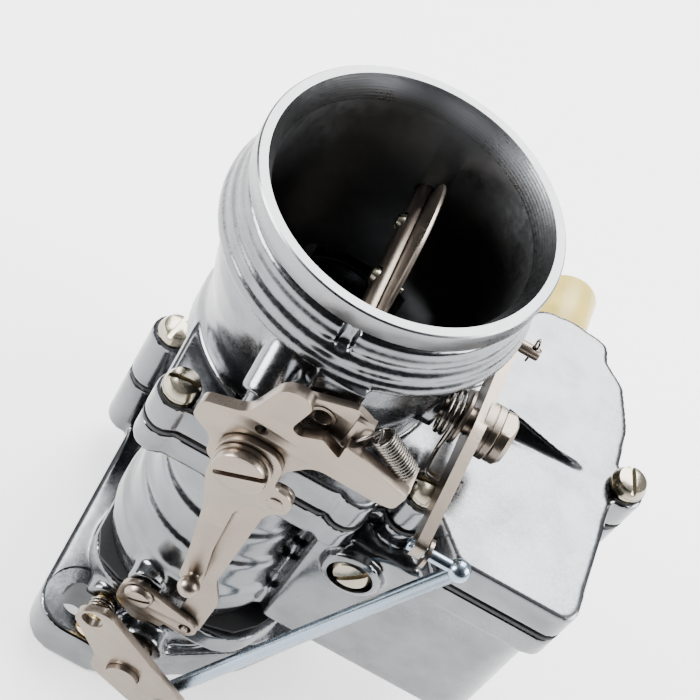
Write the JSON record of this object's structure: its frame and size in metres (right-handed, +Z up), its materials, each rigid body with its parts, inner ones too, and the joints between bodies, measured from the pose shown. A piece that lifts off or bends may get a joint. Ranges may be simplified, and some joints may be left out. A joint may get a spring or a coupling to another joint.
{
  "type": "carburetor",
  "caption": "Two-barrel downdraft carburetor with round air horn, choke and fast-idle linkage, side float bowl, accelerator pump lever and rod, and a three-stud throttle body flange.",
  "frame": {"origin": "middle of the throttle body's underside, midway between the two throttle bores", "axes": "+Z up, against the air flow, towards the air horn; +X from the air horn to the float bowl; -Y the linkage side"},
  "size_m": [0.1163, 0.124, 0.15],
  "materials": {
    "polished_casting": "polished cast, soft reflections",
    "satin_nickel": "satin nickel plate over steel",
    "screw_nickel": "warm nickel plate",
    "zinc_plate": "bright blue-white zinc plate",
    "brass": "machined brass",
    "gasket": "black gasket composition",
    "inlet_cap_plastic": "translucent yellow shipping cap",
    "pump_leather": "oiled leather"
  },
  "bodies": {
    "housing": {"air_horn": "polished_casting", "main_body": "polished_casting", "throttle_body": "polished_casting", "booster_1": "polished_casting", "booster_2": "polished_casting", "choke_shoulder_screw": "satin_nickel", "choke_spring": "satin_nickel", "cam_screw": "satin_nickel", "pump_spring_washer": "satin_nickel", "pump_pivot_screw": "satin_nickel", "pump_spring": "satin_nickel", "pump_return_spring": "satin_nickel", "float_pin": "satin_nickel", "cover_screw_1": "screw_nickel", "cover_screw_2": "screw_nickel", "cover_screw_3": "screw_nickel", "cover_screw_4": "screw_nickel", "cover_screw_5": "screw_nickel", "base_screw": "screw_nickel", "lower_screw_1": "screw_nickel", "lower_screw_2": "screw_nickel", "idle_spring_1": "screw_nickel", "idle_spring_2": "screw_nickel", "passage_plug": "brass", "fuel_inlet_fitting": "brass", "main_jet_1": "brass", "main_jet_2": "brass", "power_valve": "brass", "air_horn_gasket": "gasket", "base_gasket": "gasket"},
    "choke_control": {"choke_control_lever": "satin_nickel", "choke_ball_arm": "satin_nickel"},
    "choke_valve": {"choke_shaft": "satin_nickel", "choke_plate": "satin_nickel", "choke_plate_screw_1": "screw_nickel", "choke_plate_screw_2": "screw_nickel", "choke_plate_screw_3": "screw_nickel", "choke_shaft_lever": "satin_nickel"},
    "fast_idle_link": {"fast_idle_link": "satin_nickel"},
    "fast_idle_cam": {"fast_idle_cam": "satin_nickel"},
    "throttle": {"throttle_shaft": "satin_nickel", "throttle_plate_1": "brass", "throttle_plate_2": "brass", "throttle_plate_screw_1a": "screw_nickel", "throttle_plate_screw_1b": "screw_nickel", "throttle_plate_screw_2a": "screw_nickel", "throttle_plate_screw_2b": "screw_nickel", "throttle_lever": "satin_nickel"},
    "pump_link": {"pump_link": "zinc_plate", "pump_link_clip": "satin_nickel"},
    "pump_lever": {"pump_lever": "satin_nickel", "pump_cross_pin": "satin_nickel", "pump_cotter_pin": "zinc_plate"},
    "pump_plunger": {"pump_plunger": "satin_nickel", "pump_cup": "pump_leather"},
    "float": {"float": "brass"},
    "inlet_needle": {"inlet_needle": "brass"},
    "idle_needle_1": {"idle_needle_1": "brass"},
    "idle_needle_2": {"idle_needle_2": "brass"},
    "inlet_cap": {"inlet_cap": "inlet_cap_plastic"}
  },
  "joints": [
    {"name": "choke_control", "type": "hinge", "parent": "housing", "child": "choke_control", "pos_m": [-0.0035, -0.043, 0.1045], "axis": [0, 1, 0], "range_deg": [0, 40]},
    {"name": "choke_valve", "type": "hinge", "parent": "housing", "child": "choke_valve", "pos_m": [0.0048, 0, 0.123], "axis": [0, 1, 0], "range_deg": [0, 80], "deforming": ["choke_spring"]},
    {"name": "fast_idle_link", "type": "hinge", "parent": "choke_control", "child": "fast_idle_link", "pos_m": [0.0065, -0.0424, 0.0971], "axis": [0, 1, 0], "range_deg": [-44.5, 0]},
    {"name": "fast_idle_cam", "type": "hinge", "parent": "housing", "child": "fast_idle_cam", "pos_m": [-0.0065, -0.0442, 0.04], "axis": [0, 1, 0], "range_deg": [0, 21.8]},
    {"name": "throttle", "type": "hinge", "parent": "housing", "child": "throttle", "pos_m": [0, 0, 0.014], "axis": [0, -1, 0], "range_deg": [0, 75], "stiffness_Nm_per_rad": 0.08, "springref_deg": -28.65},
    {"name": "pump_link", "type": "hinge", "parent": "throttle", "child": "pump_link", "pos_m": [0.011, -0.0462, 0.008], "axis": [0, -1, 0], "range_deg": [-76.5, 0]},
    {"name": "pump_lever", "type": "hinge", "parent": "housing", "child": "pump_lever", "pos_m": [0.0367, -0.0105, 0.1095], "axis": [-1, 0, 0], "range_deg": [0, 27.1], "deforming": ["pump_spring"]},
    {"name": "pump_plunger", "type": "slide", "parent": "housing", "child": "pump_plunger", "axis": [0, 0, -1], "range_m": [0, 0.01084], "deforming": ["pump_return_spring"]},
    {"name": "float", "type": "hinge", "parent": "housing", "child": "float", "pos_m": [0.0685, 0.01, 0.078], "axis": [0, -1, 0], "range_deg": [0, 10]},
    {"name": "inlet_needle", "type": "slide", "parent": "housing", "child": "inlet_needle", "axis": [0, -1, 0], "range_m": [0, 0.0005]},
    {"name": "idle_needle_1", "type": "hinge", "parent": "housing", "child": "idle_needle_1", "pos_m": [-0.012, -0.04, 0.02], "axis": [0, -1, 0], "range_deg": [-180, 180]},
    {"name": "idle_needle_2", "type": "hinge", "parent": "housing", "child": "idle_needle_2", "pos_m": [-0.012, 0.04, 0.02], "axis": [0, 1, 0], "range_deg": [-180, 180]},
    {"name": "inlet_cap", "type": "slide", "parent": "housing", "child": "inlet_cap", "axis": [0, 1, 0], "range_m": [0, 0.02]}
  ],
  "couplings": [
    {"joint": "choke_valve", "follows": "choke_control", "ratio": 2},
    {"joint": "fast_idle_link", "follows": "choke_control", "ratio": -1.11},
    {"joint": "fast_idle_cam", "follows": "choke_control", "ratio": 0.541},
    {"joint": "pump_link", "follows": "throttle", "ratio": -1.0194},
    {"joint": "pump_lever", "follows": "throttle", "ratio": 0.3608},
    {"joint": "pump_plunger", "follows": "throttle", "m_per_rad": 0.008271},
    {"joint": "inlet_needle", "follows": "float", "m_per_rad": 0.002865}
  ]
}
